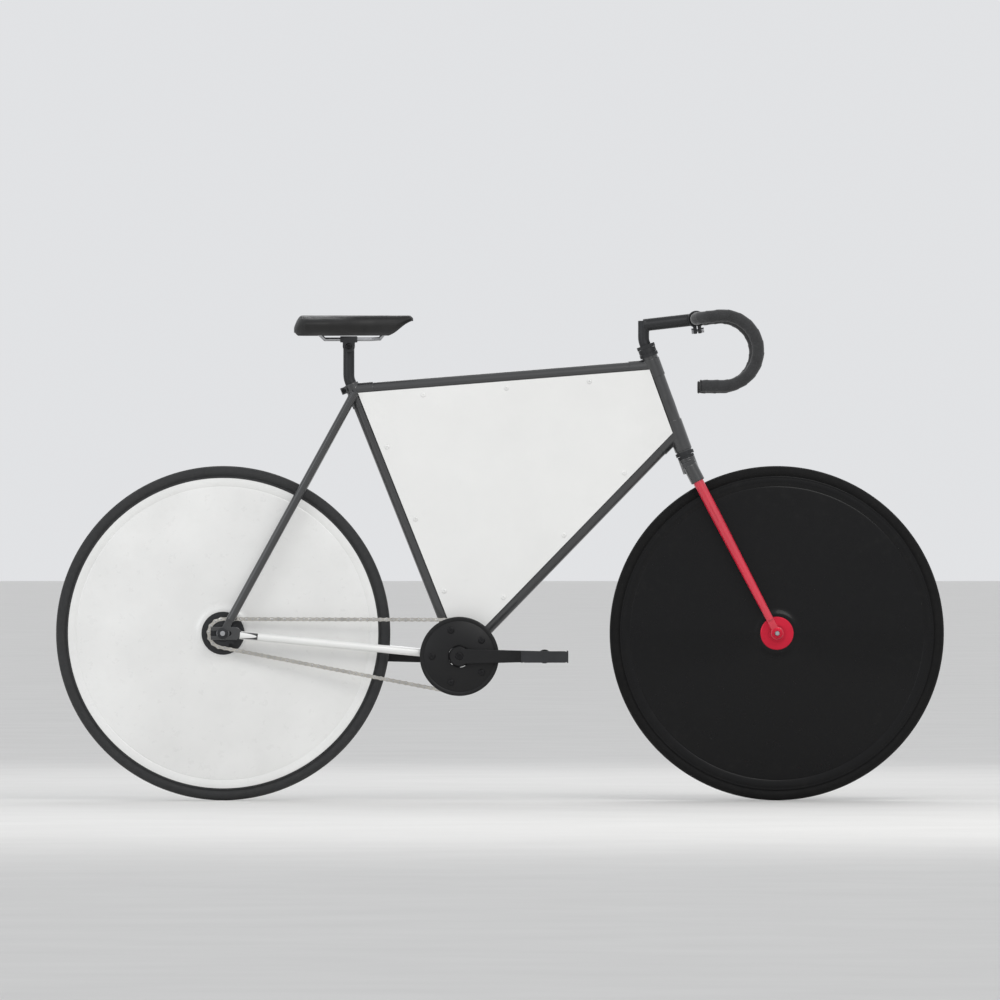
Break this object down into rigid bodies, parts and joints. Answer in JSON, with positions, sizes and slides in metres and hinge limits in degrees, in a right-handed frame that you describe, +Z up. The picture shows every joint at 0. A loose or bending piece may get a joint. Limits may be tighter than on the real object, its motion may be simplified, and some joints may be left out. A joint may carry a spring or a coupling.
{
  "type": "drop-bar track bicycle",
  "caption": "Fixed-gear racing bicycle with a drop handlebar, two closed disc wheels, a panelled main frame and a short flat saddle.",
  "frame": {"origin": "on the ground, midway between the two wheels and on the bicycle's middle plane", "axes": "+X forward, +Z up, +Y to the rider's left; the chain is on the -Y side"},
  "size_m": [1.7739, 0.4254, 0.9791],
  "materials": {
    "frame_paint": "satin charcoal enamel",
    "white_paint": "gloss white enamel",
    "white_panel": "gloss white moulded laminate",
    "white_disc": "gloss white laminate over woven cloth",
    "black_disc": "satin black laminate over woven cloth",
    "red_paint": "gloss red enamel",
    "red_alloy": "red anodised",
    "dark_alloy": "charcoal anodised",
    "black_alloy": "black anodised",
    "steel": "zinc plated, turned",
    "nickel": "nickel plated, lightly oiled",
    "dark_steel": "black zinc plated",
    "tyre_rubber": "matte charcoal with a fine file tread",
    "bar_tape": "wound charcoal cork and cloth tape",
    "black_plastic": "moulded",
    "saddle_leather": "fine grained, stitched"
  },
  "bodies": {
    "frame": {"head_tube": "frame_paint", "top_tube": "frame_paint", "down_tube": "frame_paint", "seat_tube": "frame_paint", "bottom_bracket_shell": "frame_paint", "frame_lugs": "frame_paint", "seat_binder_bolt": "steel", "chain_stays": "white_paint", "seat_stays": "frame_paint", "rear_dropouts": "frame_paint", "frame_panel_left": "white_panel", "frame_panel_right": "white_panel", "panel_screws": "white_panel", "headset_cups": "dark_alloy", "bottom_bracket_cups": "dark_alloy", "bottom_bracket_bearings": "steel", "rear_axle": "steel", "rear_axle_hardware": "dark_steel", "chain": "nickel"},
    "seat_post": {"seatpost": "dark_alloy"},
    "saddle": {"saddle_clamp": "dark_alloy", "saddle_clamp_bolt": "steel", "saddle_rails": "steel", "saddle_shell": "black_plastic", "saddle_cover": "saddle_leather"},
    "fork": {"steerer_tube": "frame_paint", "fork_crown": "frame_paint", "fork_blades": "red_paint", "fork_ends": "red_paint", "headset_races": "dark_alloy", "headset_bearings": "steel", "front_axle": "steel", "front_axle_hardware": "red_alloy"},
    "stem": {"stem": "dark_alloy", "stem_expander": "steel", "stem_clamp_bolt": "steel"},
    "handlebar": {"handlebar": "dark_alloy", "bar_tape": "bar_tape", "bar_end_plugs": "black_plastic"},
    "front_wheel": {"front_tyre": "tyre_rubber", "front_rim": "black_disc", "front_disc": "black_disc", "front_hub": "red_alloy", "front_hub_bearings": "steel"},
    "rear_wheel": {"rear_tyre": "tyre_rubber", "rear_rim": "white_disc", "rear_disc": "white_disc", "rear_hub": "dark_alloy", "rear_hub_bearings": "steel", "sprocket": "steel", "sprocket_lockring": "steel"},
    "cranks": {"crank_spindle": "steel", "crank_right": "black_alloy", "crank_left": "black_alloy", "chainring": "black_alloy", "chainring_guard": "black_alloy", "crank_bolts": "dark_steel", "pedal_axles": "steel"},
    "pedal_right": {"pedal_right": "black_alloy"},
    "pedal_left": {"pedal_left": "black_alloy"}
  },
  "joints": [
    {"name": "seat_height", "type": "slide", "parent": "frame", "child": "seat_post", "axis": [-0.3697, 0, 0.9291], "range_m": [0, 0.06]},
    {"name": "saddle_tilt", "type": "hinge", "parent": "seat_post", "child": "saddle", "pos_m": [-0.30206, 0, 0.907], "axis": [0, 1, 0], "range_deg": [-8, 8]},
    {"name": "steering", "type": "hinge", "parent": "frame", "child": "fork", "pos_m": [0.3535, 0, 0.736], "axis": [-0.342, 0, 0.9397], "range_deg": [-70, 70]},
    {"name": "stem_height", "type": "slide", "parent": "fork", "child": "stem", "axis": [-0.342, 0, 0.9397], "range_m": [0, 0.03]},
    {"name": "bar_roll", "type": "hinge", "parent": "stem", "child": "handlebar", "pos_m": [0.392, 0, 0.9612], "axis": [0, 1, 0], "range_deg": [-15, 15]},
    {"name": "front_wheel_spin", "type": "hinge", "parent": "fork", "child": "front_wheel", "pos_m": [0.553, 0, 0.334], "axis": [0, 1, 0], "continuous": true},
    {"name": "crank_spin", "type": "hinge", "parent": "frame", "child": "cranks", "pos_m": [-0.08107, 0, 0.288], "axis": [0, 1, 0], "continuous": true},
    {"name": "rear_wheel_spin", "type": "hinge", "parent": "frame", "child": "rear_wheel", "pos_m": [-0.553, 0, 0.334], "axis": [0, 1, 0], "continuous": true},
    {"name": "pedal_right_spin", "type": "hinge", "parent": "cranks", "child": "pedal_right", "pos_m": [0.08893, 0, 0.288], "axis": [0, 1, 0], "continuous": true},
    {"name": "pedal_left_spin", "type": "hinge", "parent": "cranks", "child": "pedal_left", "pos_m": [-0.25107, 0, 0.288], "axis": [0, 1, 0], "continuous": true}
  ],
  "couplings": [
    {"joint": "rear_wheel_spin", "follows": "crank_spin", "ratio": 2.5714}
  ]
}
